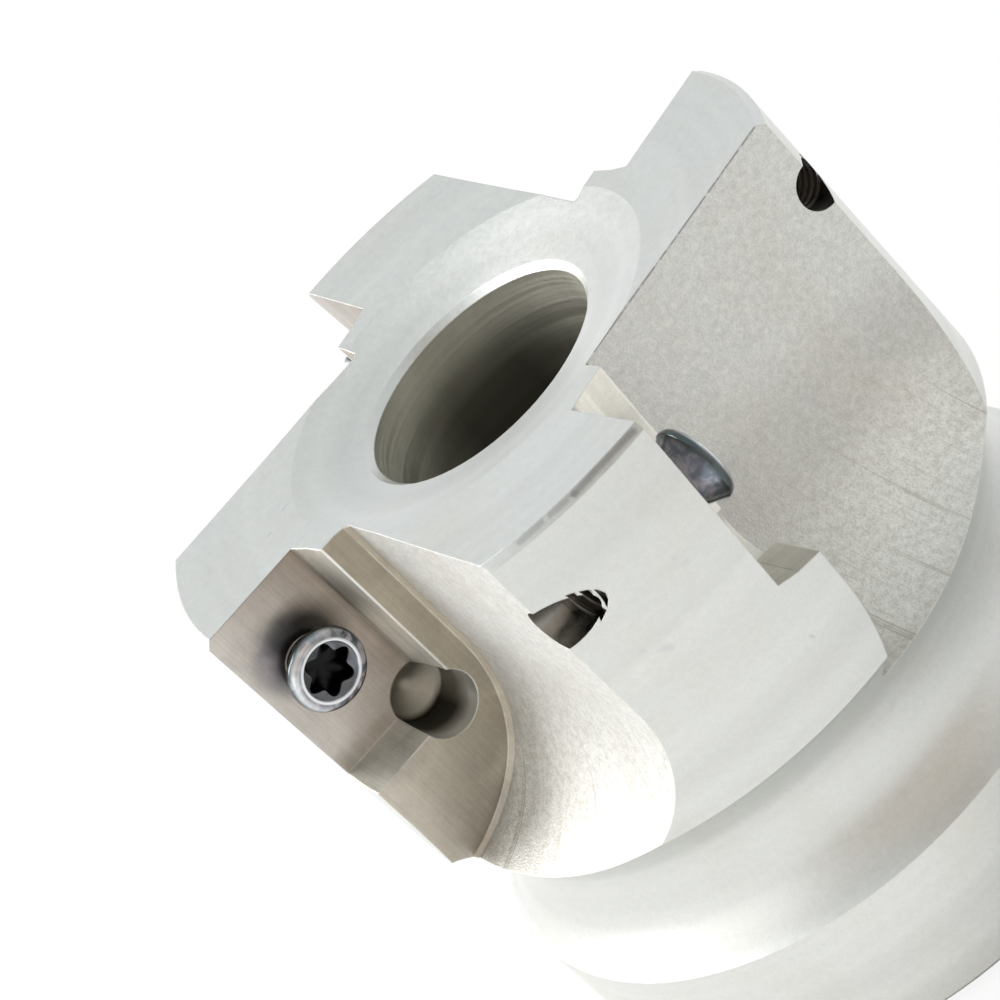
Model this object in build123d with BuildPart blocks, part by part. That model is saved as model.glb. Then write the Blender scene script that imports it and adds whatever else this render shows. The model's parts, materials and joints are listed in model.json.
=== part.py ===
from build123d import *
import os
from math import acos, degrees, radians, tan

# An indexable square shoulder face mill with four teeth, for a 22 mm arbor.
# Millimetres. The origin is the centre of the back face, and +Z points to the nose.
# Tooth 1 lies along +X. The cutter turns counter-clockwise, seen from the nose.

# Turned blank
body_radius = 24.3
body_height = 46.0
collar_height = 11.0
lobe_length = 23.3
neck_radius = 21.65
neck_curl = 3.1
base_chamfer = 0.8
nose_chamfer = 0.5

# Dished nose face, steeper around the bore
nose_slope = 3.8
hub_slope = 14.5
hub_drop = 1.95

# Bores along the axis
arbor_radius = 11.0
arbor_depth = 20.0
arbor_chamfer = 0.8
bolt_hole_radius = 5.5
counterbore_radius = 8.75
counterbore_depth = 14.5
counterbore_chamfer = 0.45

# Drive slot across the back face
slot_width = 10.4
slot_depth = 6.3
slot_angle = 135.0

# Teeth
tooth_count = 4
seat_lead = 1.2
radial_tilt = 6.9
axial_tilt = 3.5
overrun = 6.0

# Gullets, each cut in one pass with the side and end of an end mill
gullet_floor = 3.3
gullet_inset = 11.15
gullet_cutter_radius = 12.5
gullet_run = 12.8
gullet_corner = 0.3
gullet_reach = 30.0

# The gullet floor dips in an arc towards the lower end of the tooth
dip_start = 17.5
dip_radius = 17.0
dip_depth = 2.5

# Insert pockets
seat_width = 8.2
seat_length = 14.2
end_skew = 4.5
lower_wall_height = 1.5
lower_wall_taper = 15.0
upper_wall_taper = 7.0

# Clearance hole in the inner corner of each pocket
relief_radius = 2.3
relief_from_wall = 0.96
relief_past_end = 0.5
relief_depth = 1.4
relief_point_angle = 120.0

# Insert screws, M4 with a six-lobe socket
screw_inset = 3.85
screw_reach = 6.7
thread_core_radius = 1.62
thread_clearance = 0.05
tapped_length = 20.0
shank_length = 5.5
head_radius = 2.8
head_taper = 60.0
head_rim = 0.2
crown_radius = 2.1
crown_height = 0.6
socket_lobes = 6
socket_radius = 1.68
socket_waist = 1.22
socket_flute_radius = 0.6
socket_depth = 1.85


def seat_plane(height=0.0):
    """Plane of tooth 1's seat: x runs outwards, y runs to the collar and z stands on the seat."""
    outward = Vector(1, 0, 0).rotate(Axis.Z, radial_tilt)
    leading = Vector(0, 1, 0).rotate(Axis.Z, radial_tilt)
    normal = leading.rotate(Axis((0, 0, 0), outward), -axial_tilt)
    return Plane((body_radius, seat_lead, body_height), x_dir=outward, z_dir=normal).offset(height)


def screw_plane():
    """Plane on the seat, centred on the insert screw."""
    seat = seat_plane()
    centre = seat.from_local_coords((-screw_inset, screw_reach, 0))
    return Plane(centre, x_dir=seat.x_dir, z_dir=seat.z_dir)


def dish_knee():
    """Radius and height where the outer nose cone meets the steeper cone round the bore."""
    outer = tan(radians(nose_slope))
    inner = tan(radians(hub_slope))
    rim = counterbore_radius + counterbore_chamfer
    edge = body_radius - nose_chamfer
    knee = (hub_drop - outer * edge + inner * rim) / (inner - outer)
    return knee, body_height - outer * (edge - knee)


# Turned blank: its half section is swept round the axis
with BuildPart() as blank:
    lobe_end = body_height - lobe_length
    waist = neck_radius - (body_radius - neck_radius) / 3
    rim_height = body_height - hub_drop
    bore_floor = body_height - counterbore_depth
    with BuildSketch(Plane.XZ):
        with BuildLine():
            Polyline(
                (arbor_radius + arbor_chamfer, 0),
                (body_radius - base_chamfer, 0),
                (body_radius, base_chamfer),
                (body_radius, collar_height),
            )
            Bezier(
                (body_radius, collar_height),
                (waist, collar_height + neck_curl),
                (waist, lobe_end - neck_curl),
                (body_radius, lobe_end),
            )
            Polyline(
                (body_radius, lobe_end),
                (body_radius, body_height - nose_chamfer),
                (body_radius - nose_chamfer, body_height),
                dish_knee(),
                (counterbore_radius + counterbore_chamfer, rim_height),
                (counterbore_radius, rim_height - counterbore_chamfer),
                (counterbore_radius, bore_floor),
                (bolt_hole_radius, bore_floor),
                (bolt_hole_radius, arbor_depth),
                (arbor_radius, arbor_depth),
                (arbor_radius, arbor_chamfer),
                (arbor_radius + arbor_chamfer, 0),
            )
        make_face()
    revolve(axis=Axis.Z)


# Gullet cutter: the path of the end mill, from below the lowest point of the floor
with BuildPart() as gullet:
    floor_plane = seat_plane(gullet_floor)
    path = gullet_cutter_radius - gullet_inset
    with BuildSketch(floor_plane.offset(-dip_depth)):
        with Locations((path, (gullet_run - overrun) / 2)):
            Rectangle(2 * gullet_cutter_radius, gullet_run + overrun)
        with Locations((path, gullet_run)):
            Circle(gullet_cutter_radius)
    extrude(amount=gullet_reach)

    # The floor, seen from the side: flat, then an arc down towards the collar
    side_plane = Plane(floor_plane.origin, x_dir=floor_plane.y_dir, z_dir=floor_plane.x_dir)
    dip_angle = degrees(acos(1 - dip_depth / dip_radius))
    with BuildSketch(side_plane):
        with BuildLine():
            flat = Line((-2 * overrun, 0), (dip_start, 0))
            dip = JernArc(flat @ 1, (1, 0), dip_radius, -dip_angle)
            Polyline(dip @ 1, (dip @ 1) + (0, gullet_reach), (-2 * overrun, gullet_reach), flat @ 0)
        make_face()
    extrude(amount=gullet_reach, both=True, mode=Mode.INTERSECT)

    # Chamfer left by the corner of the end mill, all along the edge of the floor
    low_faces = gullet.faces().sort_by(Axis(floor_plane.origin, floor_plane.z_dir))[:2]
    rim = low_faces[0].edges() + low_faces[1].edges()
    shared = [edge for edge in low_faces[0].edges() if edge in low_faces[1].edges()]
    chamfer([edge for edge in rim if edge not in shared], length=gullet_corner)


def pocket_corners(spread):
    """Outline of the insert pocket, with its wall and end moved out by a spread."""
    wall = -seat_width - spread
    end = seat_length + spread
    drop = (overrun - wall) * tan(radians(end_skew))
    return [(wall, -overrun), (overrun, -overrun), (overrun, end - drop / 2), (wall, end + drop / 2)]


# Pocket cutter: the seat, and the walls in two facets
with BuildPart() as pocket:
    seat = seat_plane()
    with BuildSketch(seat):
        Polygon(*pocket_corners(0), align=None)
    extrude(amount=lower_wall_height, taper=-lower_wall_taper)
    spread = lower_wall_height * tan(radians(lower_wall_taper))
    with BuildSketch(seat_plane(lower_wall_height)):
        Polygon(*pocket_corners(spread), align=None)
    extrude(amount=gullet_floor, taper=-upper_wall_taper)


# Clearance hole in the pocket's inner corner, drilled square to the seat
with BuildPart() as relief:
    with BuildSketch(Plane.XZ):
        point_depth = relief_depth + relief_radius / tan(radians(relief_point_angle / 2))
        with BuildLine():
            Polyline(
                (0, -point_depth),
                (relief_radius, -relief_depth),
                (relief_radius, gullet_floor + overrun),
                (0, gullet_floor + overrun),
                (0, -point_depth),
            )
        make_face()
    revolve(axis=Axis.Z)


def relief_place():
    """Position of the clearance hole on the seat, in the inner corner of the pocket."""
    seat = seat_plane()
    centre = seat.from_local_coords((relief_from_wall - seat_width, seat_length + relief_past_end, 0))
    return Plane(centre, x_dir=seat.x_dir, z_dir=seat.z_dir).location


# Tapped hole, square to the seat and through to the back of the tooth
with BuildPart() as tapping:
    with BuildSketch(screw_plane().offset(overrun)):
        Circle(thread_core_radius + thread_clearance)
    extrude(amount=-overrun - tapped_length)


# Cutter body: the blank with its teeth, pockets, screw holes and drive slot
with BuildPart() as cutter_body:
    add(blank.part)
    with PolarLocations(0, tooth_count):
        add(gullet.part, mode=Mode.SUBTRACT)
    with PolarLocations(0, tooth_count):
        add(pocket.part, mode=Mode.SUBTRACT)
    with PolarLocations(0, tooth_count):
        add(relief_place() * relief.part, mode=Mode.SUBTRACT)
    with PolarLocations(0, tooth_count):
        add(tapping.part, mode=Mode.SUBTRACT)
    with BuildSketch():
        Rectangle(2 * body_radius + overrun, slot_width, rotation=slot_angle)
    extrude(amount=slot_depth, mode=Mode.SUBTRACT)


# Insert screw: turned profile on the screw's own axis, then the six-lobe socket
with BuildPart() as screw:
    rim_base = (head_radius - thread_core_radius) / tan(radians(head_taper / 2))
    rim_top = rim_base + head_rim
    crown = rim_top + crown_height
    with BuildSketch(Plane.XZ):
        with BuildLine():
            Polyline(
                (0, crown),
                (0, -shank_length),
                (thread_core_radius, -shank_length),
                (thread_core_radius, 0),
                (head_radius, rim_base),
                (head_radius, rim_top),
                (crown_radius, crown),
                (0, crown),
            )
        make_face()
    revolve(axis=Axis.Z)
    with BuildSketch(Plane.XY.offset(crown)):
        Circle(socket_radius)
        with PolarLocations(socket_waist + socket_flute_radius, socket_lobes):
            Circle(socket_flute_radius, mode=Mode.SUBTRACT)
    extrude(amount=-socket_depth, mode=Mode.SUBTRACT)


os.makedirs("parts", exist_ok=True)

cutter_body.part.label = "cutter_body"
export_step(cutter_body.part, "parts/cutter_body.step")

for tooth in range(tooth_count):
    turn = Rotation(0, 0, tooth * 360 / tooth_count)
    placed = turn * screw_plane().location * screw.part
    placed.label = f"insert_screw_{tooth + 1}"
    export_step(placed, f"parts/insert_screw_{tooth + 1}.step")
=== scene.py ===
import bmesh
import bpy
import json
import numpy as np
from math import atan2, ceil, cos, degrees, floor, hypot, pi, radians, sin, tau
from mathutils import Euler, Matrix, Vector


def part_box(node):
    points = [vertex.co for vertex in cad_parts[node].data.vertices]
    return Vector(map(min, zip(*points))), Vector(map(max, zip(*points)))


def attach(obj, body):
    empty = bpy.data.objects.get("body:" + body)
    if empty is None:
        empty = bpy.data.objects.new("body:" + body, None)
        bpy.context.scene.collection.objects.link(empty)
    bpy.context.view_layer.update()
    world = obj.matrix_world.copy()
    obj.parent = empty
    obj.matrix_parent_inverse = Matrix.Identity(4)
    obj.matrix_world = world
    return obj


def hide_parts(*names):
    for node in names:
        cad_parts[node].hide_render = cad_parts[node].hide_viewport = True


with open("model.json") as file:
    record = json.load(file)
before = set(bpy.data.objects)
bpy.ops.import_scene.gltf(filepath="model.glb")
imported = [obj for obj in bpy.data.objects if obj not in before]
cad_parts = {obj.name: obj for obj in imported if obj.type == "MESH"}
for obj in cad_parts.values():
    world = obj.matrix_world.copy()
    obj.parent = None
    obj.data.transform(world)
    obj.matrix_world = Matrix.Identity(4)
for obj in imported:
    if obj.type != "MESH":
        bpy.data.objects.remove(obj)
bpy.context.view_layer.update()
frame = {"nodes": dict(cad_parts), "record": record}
nodes = frame["nodes"]
mounts = {mount["name"]: mount for mount in frame["record"]["mounts"]}
mm = 0.001

# Camera, at the viewing angle of the photograph
camera_azimuth = 83.7
camera_elevation = 27.74
camera_roll = -45.78
camera_distance = 200.0 * mm
camera_target = (5.19 * mm, 3.86 * mm, 38.61 * mm)
focal_share = 3.1845
sensor_width = 36.0

# Lamps face a point half way up the cutter
lamp_target = (0, 0, 25 * mm)

# The cutter
tooth_count = 4
tooth_pitch = 360 / tooth_count
gullet_lead = 14
body_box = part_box("cutter_body")
body_radius = body_box[1].x
body_height = body_box[1].z
slot_depth = mounts["drive_slot"]["pos_m"][2]

# How the faces of the body are joined and told apart
weld_distance = 0.002 * mm
smooth_turn = 3.0
crease_turn = 35.0
border_turn = 1.0
turned_lean = 0.03
bore_limit = 12.0 * mm
nose_band = 5.0 * mm
slot_margin = 0.5 * mm
seat_margin = 0.1 * mm
wall_top = 3.2 * mm
floor_facing = 0.6
wall_facing = 0.45
curl_limit = 0.75

# Clearance hole of each pocket, from the middle of the seat: outwards, then towards the collar
relief_place = (-3.39 * mm, 3.1 * mm)
relief_reach = 2.5 * mm
relief_top = 2.0 * mm
relief_foot = -4.0 * mm
hole_reach = 1.2 * mm

# Painted shade in the tooth's frame: a painted shadow round each screw, and painted shade in the corner
# at the pocket's wall
screw_shade = (-0.9 * mm, -5.9 * mm, 0)
pocket_wall = 4.35 * mm

# Painted highlight along the top edge of the pocket's wall: how far in from the middle of the seat, and
# its height
pocket_brow = (4.97 * mm, 3.3 * mm)

# Gullet wall behind a tooth, in the tooth's frame, and the tilt of the end mill's lines on it
gullet_wall = -7.3 * mm
line_tilt = radians(12)

# M4 thread of the insert screws
thread_pitch = 0.7 * mm
thread_core = 1.62 * mm
thread_crest = 1.93 * mm
thread_flank = 0.577
tap_crest = 2.03 * mm
tap_root = 1.5 * mm
tap_depth = 9.4 * mm
tap_lift = 0.35 * mm
tap_steps = 24

# Insert screws, heights from the seat
screw_sides = 120
screw_crease = 40.0
screw_tip = -5.5 * mm
tip_chamfer = 0.2 * mm
thread_run_out = 0.7 * mm
thread_rings = 8
head_radius = 2.8 * mm
head_base = 2.04 * mm
rim_height = 0.12 * mm
rim_break = 0.05 * mm
crown_height = 2.79 * mm
dome_steps = 8
ring_outer = 2.17 * mm
ring_inner = 1.96 * mm
ring_flat = 0.05 * mm
ring_sag = 0.03 * mm
mouth_depth = 0.3 * mm
mouth_draft = 0.05 * mm
socket_lobes = 6
lobe_middle = 1.56 * mm
lobe_swing = 0.26 * mm
socket_break = 0.03 * mm
socket_lead = 0.05 * mm
socket_floor = 0.95 * mm
socket_point = 0.8 * mm

# Colours laid over the metal
oil_brown = (0.13, 0.10, 0.08)
# Painted shadow colour round the screws
screw_shadow_black = (0.06, 0.052, 0.043)
# Painted shade colour down one side of the bore
bore_shade_green = (0.08, 0.078, 0.06)
# Painted shade colour in the pocket's corner
corner_shade_colour = (0.09, 0.085, 0.07)
# Painted shadow colour at the foot of the clearance holes
relief_shadow_black = (0.03, 0.028, 0.02)
pit_grey = (0.12, 0.11, 0.10)
pit_brown = (0.16, 0.13, 0.11)
line_brown = (0.40, 0.38, 0.33)
dust_yellow = (0.58, 0.55, 0.45)
smudge_grey = (0.50, 0.52, 0.56)
# Painted dark reflection along the nose chamfer
chamfer_reflection_grey = (0.26, 0.25, 0.24)
# Painted shade and painted light on the gullet walls
painted_shade_grey = (0.42, 0.41, 0.39)
painted_light_nickel = (0.90, 0.90, 0.875)
# Steel of bright edges, partly worn and partly painted highlight
worn_and_lit_steel = (0.97, 0.96, 0.92)
# Painted light at the rims of the clearance holes, and their edges, partly worn and partly painted
# highlight
rim_light_and_wear_steel = (0.92, 0.91, 0.86)


def add_camera():
    """Camera at the photograph's viewing angle."""
    lens = bpy.data.cameras.new("view_camera")
    lens.sensor_width = sensor_width
    lens.lens = focal_share * sensor_width
    lens.clip_start = 0.01
    turn = Matrix.Rotation(radians(90 + camera_azimuth), 3, "Z")
    tip = Matrix.Rotation(radians(90 - camera_elevation), 3, "X")
    roll = Matrix.Rotation(radians(camera_roll), 3, "Z")
    aim = turn @ tip @ roll
    place = Vector(camera_target) + aim @ Vector((0, 0, camera_distance))
    camera = bpy.data.objects.new("view_camera", lens)
    camera.matrix_world = Matrix.Translation(place) @ aim.to_4x4()
    bpy.context.scene.collection.objects.link(camera)
    bpy.context.scene.camera = camera


def add_lamp(name, azimuth, elevation, distance, size, watts, colour=(1, 1, 1)):
    """Square soft lamp that faces the cutter."""
    light = bpy.data.lights.new(name, "AREA")
    light.shape = "SQUARE"
    light.size = size
    light.energy = watts
    light.color = colour
    lamp = bpy.data.objects.new(name, light)
    lamp.rotation_euler = Euler((radians(90 - elevation), 0, radians(90 + azimuth)))
    away = lamp.rotation_euler.to_matrix() @ Vector((0, 0, 1))
    lamp.location = Vector(lamp_target) + away * distance
    bpy.context.scene.collection.objects.link(lamp)


def direction(azimuth, elevation):
    """Unit vector towards an azimuth and an elevation, in degrees."""
    a, e = radians(azimuth), radians(elevation)
    return (cos(a) * cos(e), sin(a) * cos(e), sin(e))


# Tooth frames, read from the mounts of the insert seats

def tooth_frame(number):
    """Frame of a seat: outwards, towards the collar and away from the seat."""
    mount = mounts[f"insert_seat_{number}"]
    away = Vector(mount["axis"]).normalized()
    outward = away.cross(Vector((0, 0, 1))).normalized()
    down = away.cross(outward)
    place = Matrix((outward, down, away)).transposed().to_4x4()
    place.translation = Vector(mount["pos_m"])
    return place


teeth = [tooth_frame(number + 1) for number in range(tooth_count)]


def on_ring(radius, height, azimuth):
    """Point at a radius, a height and an azimuth in degrees."""
    return (radius * cos(radians(azimuth)), radius * sin(radians(azimuth)), height)


def on_tooth(number, x, y, z):
    """Point given in the frame of a tooth."""
    return tuple(teeth[number] @ Vector((x, y, z)))


# Places of marks: a burr along the top of gullet 2, and a painted dark reflection along the nose chamfer
# of tooth 2
burr_start = on_tooth(1, gullet_wall, -11.0 * mm, 4.4 * mm)
burr_end = on_tooth(1, gullet_wall, -12.85 * mm, 21.4 * mm)
chamfer_reach = body_radius - 0.27 * mm
chamfer_height = body_height - 0.2 * mm
chamfer_spots = [on_ring(chamfer_reach, chamfer_height, azimuth) for azimuth in (91.5, 80, 70)]

# Marks of use, and a painted dark reflection along the nose chamfer: start, end, width, gaps, strength
# and colour. Gaps under zero leave a mark whole
turned_marks_and_reflection = [
    (burr_start, burr_end, 0.12 * mm, 0.36, 0.65, oil_brown),
    # Painted dark reflection along the nose chamfer
    (chamfer_spots[0], chamfer_spots[1], 0.34 * mm, 0.25, 0.62, chamfer_reflection_grey),
    (chamfer_spots[1], chamfer_spots[2], 0.30 * mm, 0.3, 0.38, chamfer_reflection_grey),
    (on_ring(body_radius, 35.4 * mm, 71), on_ring(body_radius, 34.1 * mm, 74.4),
     0.35 * mm, 0.42, 0.3, smudge_grey),
    (on_ring(body_radius, 38.2 * mm, 83.4), on_ring(body_radius, 37.7 * mm, 84),
     0.4 * mm, 0.35, 0.25, smudge_grey),
    (on_ring(body_radius, 27.9 * mm, 89.1), on_ring(body_radius, 27.7 * mm, 89.3),
     0.16 * mm, 0.3, 0.6, smudge_grey),
    (on_ring(16.7 * mm, 45.5 * mm, -12), on_ring(16.5 * mm, 45.5 * mm, -12.3),
     0.14 * mm, 0.3, 0.7, smudge_grey),
    (on_ring(15.4 * mm, 45.4 * mm, -17), on_ring(14.8 * mm, 45.4 * mm, -19),
     0.12 * mm, 0.35, 0.5, smudge_grey),
]
gullet_marks = [(burr_start, burr_end, 0.1 * mm, 0.36, 0.5, oil_brown)]

# Painted shade and light on the gullet walls: painted shade above the curve, and painted light below it
painted_gullet_light = [
    (on_tooth(1, -7.0 * mm, 4.2 * mm, 21 * mm), on_tooth(1, -7.1 * mm, 3.0 * mm, 6 * mm),
     5 * mm, -0.2, 0.3, painted_shade_grey),
    (on_tooth(1, -4.0 * mm, 9.6 * mm, 18 * mm), on_tooth(1, -1.2 * mm, 12.2 * mm, 6 * mm),
     6 * mm, -0.2, 0.8, painted_light_nickel),
    (on_tooth(0, -4.0 * mm, 9.6 * mm, 4.2 * mm), on_tooth(0, 0.6 * mm, 13.0 * mm, 4.2 * mm),
     1.7 * mm, -0.2, 0.8, painted_light_nickel),
]


# Node helpers: a value is a number, a tuple or another node's output

def put(tree, kind, values=None, **settings):
    """New node with its settings and its input values."""
    node = tree.nodes.new(kind)
    for name, value in settings.items():
        setattr(node, name, value)
    for name, value in (values or {}).items():
        feed(tree, value, node.inputs[name])
    return node


def feed(tree, value, socket):
    """Links an output to an input, or sets the input's own value."""
    if isinstance(value, bpy.types.NodeSocket):
        tree.links.new(value, socket)
    elif isinstance(value, tuple) and len(value) == 3 and socket.type == "RGBA":
        socket.default_value = (*value, 1)
    else:
        socket.default_value = value


def calc(tree, operation, *values):
    """Result of a Math node."""
    node = tree.nodes.new("ShaderNodeMath")
    node.operation = operation
    for socket, value in zip(node.inputs, values):
        feed(tree, value, socket)
    return node.outputs[0]


def times(tree, first, *others):
    """Product of two or more values."""
    for other in others:
        first = calc(tree, "MULTIPLY", first, other)
    return first


def vector_calc(tree, operation, *values):
    """Result of a Vector Math node, as a vector or a number."""
    node = tree.nodes.new("ShaderNodeVectorMath")
    node.operation = operation
    for socket, value in zip(node.inputs, values):
        feed(tree, value, socket)
    gives_number = operation in ("DOT_PRODUCT", "LENGTH", "DISTANCE")
    return node.outputs["Value" if gives_number else "Vector"]


def spread(tree, value, low, high, to_low=0.0, to_high=1.0):
    """Value moved from one range to another, and kept inside it."""
    limits = {"Value": value, "From Min": low, "From Max": high, "To Min": to_low, "To Max": to_high}
    return put(tree, "ShaderNodeMapRange", limits).outputs[0]


def split(tree, vector):
    """X, Y and Z of a vector."""
    return put(tree, "ShaderNodeSeparateXYZ", {"Vector": vector}).outputs


def join(tree, **parts):
    """Vector from some of its X, Y and Z."""
    return put(tree, "ShaderNodeCombineXYZ", parts).outputs[0]


def noise(tree, place, scale, detail, **more):
    """Grey noise at a place."""
    values = {"Vector": place, "Scale": scale, "Detail": detail, **more}
    return put(tree, "ShaderNodeTexNoise", values).outputs[0]


def blend(tree, factor, first, second, mode="MIX"):
    """Mix of two colours."""
    node = tree.nodes.new("ShaderNodeMix")
    node.data_type = "RGBA"
    node.blend_type = mode
    feed(tree, factor, node.inputs[0])
    feed(tree, first, node.inputs[6])
    feed(tree, second, node.inputs[7])
    return node.outputs[2]


def over(tree, base, colour, *masks):
    """Lays a colour over another where the masks are bright."""
    return blend(tree, times(tree, *masks), base, colour)


def vary(tree, base, value, low, high, darkest, brightest):
    """Colour made darker and brighter as a value runs from low to high."""
    return blend(tree, 1.0, base, spread(tree, value, low, high, darkest, brightest), "MULTIPLY")


def object_place(tree):
    """Place in the frame of the cutter."""
    return put(tree, "ShaderNodeTexCoord").outputs["Object"]


def tooth_place(tree):
    """Place in the frame of the tooth."""
    return put(tree, "ShaderNodeAttribute", attribute_name="tooth_place").outputs["Vector"]


def new_group(name, inputs, outputs):
    """Shader node group: inputs are (name, kind, value), outputs are (name, kind)."""
    group = bpy.data.node_groups.new(name, "ShaderNodeTree")
    for label, kind, value in inputs:
        socket = group.interface.new_socket(label, in_out="INPUT", socket_type="NodeSocket" + kind)
        socket.default_value = value
    for label, kind in outputs:
        group.interface.new_socket(label, in_out="OUTPUT", socket_type="NodeSocket" + kind)
    start = group.nodes.new("NodeGroupInput")
    end = group.nodes.new("NodeGroupOutput")
    return group, start.outputs, end.inputs


def use_group(tree, group, values):
    """Places a group in a material with its own values, and returns its outputs."""
    node = tree.nodes.new("ShaderNodeGroup")
    node.node_tree = group
    for name, value in values.items():
        feed(tree, value, node.inputs[name])
    return node.outputs


# Effects that several finishes share

def build_edge_wear_and_highlight():
    """Rounded edges, and a mask that is bright along them, for edges partly worn and partly a painted
    highlight.
    """
    group, given, out = new_group(
        "edge_wear_and_highlight",
        [("Radius", "Float", 0.12 * mm), ("Break Up", "Float", 900.0)],
        [("Mask", "Float"), ("Normal", "Vector")],
    )
    rounded = put(group, "ShaderNodeBevel", {"Radius": given["Radius"]}, samples=4).outputs[0]
    flat = put(group, "ShaderNodeNewGeometry").outputs["Normal"]
    edge = spread(group, vector_calc(group, "DOT_PRODUCT", rounded, flat), 0.995, 0.9)
    breaks = noise(group, object_place(group), given["Break Up"], 2.0)
    feed(group, times(group, edge, spread(group, breaks, 0.35, 0.6, 0.25, 1.0)), out["Mask"])
    feed(group, rounded, out["Normal"])
    return group


def build_blasted_grain():
    """Fine even grain of a blasted and plated surface, with a few pits."""
    group, given, out = new_group(
        "blasted_grain",
        [("Size", "Float", 0.16 * mm)],
        [("Height", "Float"), ("Mottle", "Float"), ("Pits", "Float")],
    )
    place = object_place(group)
    scale = calc(group, "DIVIDE", 1.0, given["Size"])
    grain = noise(group, place, scale, 3.0, Roughness=0.6)
    coarse = noise(group, place, times(group, scale, 0.3), 2.0)
    cells = {"Vector": place, "Scale": times(group, scale, 0.12), "Randomness": 1.0}
    pits = put(group, "ShaderNodeTexVoronoi", cells).outputs
    near = spread(group, pits["Distance"], 0.05, 0.09, 1.0, 0.0)
    chosen = spread(group, pits["Color"], 0.93, 0.94)
    mottle = calc(group, "ADD", times(group, grain, 0.6), times(group, coarse, 0.4))
    feed(group, grain, out["Height"])
    feed(group, mottle, out["Mottle"])
    feed(group, times(group, near, chosen), out["Pits"])
    return group


def build_tool_marks():
    """Fine straight marks of a milling cutter."""
    group, given, out = new_group(
        "tool_marks",
        [("Place", "Vector", (0, 0, 0)), ("Across", "Vector", (1, 0, 0)), ("Along", "Vector", (0, 1, 0)),
         ("Spacing", "Float", 0.12 * mm), ("Stretch", "Float", 40.0)],
        [("Height", "Float"), ("Bands", "Float")],
    )
    across = vector_calc(group, "DOT_PRODUCT", given["Place"], given["Across"])
    along = vector_calc(group, "DOT_PRODUCT", given["Place"], given["Along"])
    across = calc(group, "DIVIDE", across, given["Spacing"])
    along = calc(group, "DIVIDE", calc(group, "DIVIDE", along, given["Spacing"]), given["Stretch"])
    line = join(group, X=across, Y=along)
    feed(group, noise(group, line, 1.0, 2.0, Roughness=0.5), out["Height"])
    feed(group, noise(group, line, 0.17, 2.0), out["Bands"])
    return group


def build_lathe_marks():
    """Fine rings round the cutter's axis."""
    group, given, out = new_group(
        "lathe_marks",
        [("Spacing", "Float", 0.1 * mm)],
        [("Height", "Float"), ("Bands", "Float")],
    )
    parts = split(group, object_place(group))
    reach = vector_calc(group, "LENGTH", join(group, X=parts["X"], Y=parts["Y"]))
    turn = calc(group, "ARCTAN2", parts["Y"], parts["X"])
    ring = join(
        group,
        X=calc(group, "DIVIDE", reach, given["Spacing"]),
        Y=calc(group, "DIVIDE", parts["Z"], given["Spacing"]),
        Z=times(group, calc(group, "SINE", turn), 0.8),
    )
    feed(group, noise(group, ring, 1.0, 2.0, Roughness=0.5), out["Height"])
    feed(group, noise(group, ring, 0.12, 1.0), out["Bands"])
    return group


def build_handling():
    """Soft patches where plating, oil or handling changes the tone."""
    group, given, out = new_group(
        "handling",
        [("Size", "Float", 5.0 * mm), ("Low", "Float", 0.5), ("High", "Float", 0.7)],
        [("Mask", "Float"), ("Tone", "Float")],
    )
    scale = calc(group, "DIVIDE", 1.0, given["Size"])
    patch = noise(group, object_place(group), scale, 4.0, Roughness=0.55, Distortion=0.6)
    feed(group, spread(group, patch, given["Low"], given["High"]), out["Mask"])
    feed(group, patch, out["Tone"])
    return group


def build_mark_line():
    """Mask of a thin mark along a straight line through space, broken up by noise."""
    group, given, out = new_group(
        "mark_line",
        [("Start", "Vector", (0, 0, 0)), ("End", "Vector", (0, 0, 1)),
         ("Width", "Float", 0.1 * mm), ("Gaps", "Float", 0.4)],
        [("Mask", "Float")],
    )
    place = object_place(group)
    run = vector_calc(group, "SUBTRACT", given["End"], given["Start"])
    off = vector_calc(group, "SUBTRACT", place, given["Start"])
    passed = vector_calc(group, "DOT_PRODUCT", off, run)
    whole = vector_calc(group, "DOT_PRODUCT", run, run)
    share = spread(group, calc(group, "DIVIDE", passed, whole), 0.0, 1.0)
    nearest = put(group, "ShaderNodeVectorMath", {0: run, "Scale": share}, operation="SCALE")
    away = vector_calc(group, "LENGTH", vector_calc(group, "SUBTRACT", off, nearest.outputs["Vector"]))
    near = spread(group, away, given["Width"], times(group, given["Width"], 0.3))
    breaks = noise(group, place, 1400.0, 3.0)
    whole_mark = spread(group, breaks, given["Gaps"], calc(group, "ADD", given["Gaps"], 0.12))
    feed(group, times(group, near, whole_mark), out["Mask"])
    return group


mark_line = build_mark_line()
edge_wear_and_highlight = build_edge_wear_and_highlight()
blasted_grain = build_blasted_grain()
tool_marks = build_tool_marks()
lathe_marks = build_lathe_marks()
handling = build_handling()


# Finishes

def new_metal(name, roughness):
    """Material with a metal shader, its tree and the shader's inputs."""
    material = bpy.data.materials.new(name)
    material.use_nodes = True
    tree = material.node_tree
    shader = tree.nodes["Principled BSDF"]
    shader.inputs["Metallic"].default_value = 1.0
    shader.inputs["Roughness"].default_value = roughness
    return material, tree, shader.inputs


def finish_metal(tree, shader, base, rough, normal):
    """Links the colour, roughness and normal of a metal to its shader."""
    feed(tree, base, shader["Base Color"])
    feed(tree, rough, shader["Roughness"])
    feed(tree, normal, shader["Normal"])


def bump(tree, height, depth, normal):
    """Normal of a small relief of a given depth."""
    return put(tree, "ShaderNodeBump", {"Height": height, "Distance": depth, "Normal": normal}).outputs[0]


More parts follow.
